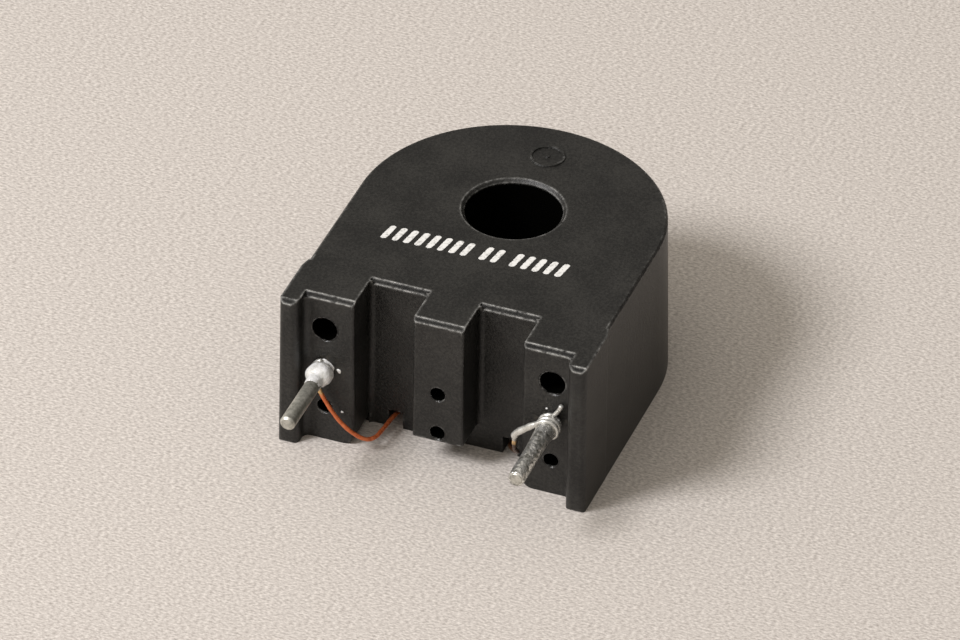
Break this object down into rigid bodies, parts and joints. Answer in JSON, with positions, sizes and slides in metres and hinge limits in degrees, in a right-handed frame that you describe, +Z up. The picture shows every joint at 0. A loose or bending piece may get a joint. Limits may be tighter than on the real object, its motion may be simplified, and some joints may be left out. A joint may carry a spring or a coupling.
{
  "type": "current transformer",
  "caption": "Current transformer for a circuit board: a potted ring core in a D-shaped housing with a through bore, and terminal pins on the flat front.",
  "frame": {"origin": "on the axis of the bore, in the plane of the rim that the housing rests on", "axes": "+Z runs up the bore to the closed face, -Y is the way the terminal pins point, +X is to the right seen from the pins' side"},
  "size_m": [0.0206, 0.0294, 0.0112],
  "materials": {
    "moulding": "spark-eroded matt black, moulded",
    "resin": "cast epoxy, glossy, slightly uneven",
    "outer_tape": "polyester tape",
    "copper": "enamelled copper wire",
    "core_tape": "clear film tape",
    "strip": "wound magnetic strip",
    "pin": "dull tin plate",
    "enamelled_wire": "enamelled copper wire, glossy",
    "tinned_wire": "solder-dipped copper wire",
    "solder": "bright solder"
  },
  "bodies": {
    "root": {"housing": "moulding", "potting": "resin", "outer_tape": "outer_tape", "winding": "copper", "core_tape": "core_tape", "core": "strip", "pin_left": "pin", "pin_right": "pin", "lead_left": "enamelled_wire", "lead_right": "tinned_wire", "solder_left": "solder", "solder_right": "solder"}
  },
  "joints": []
}
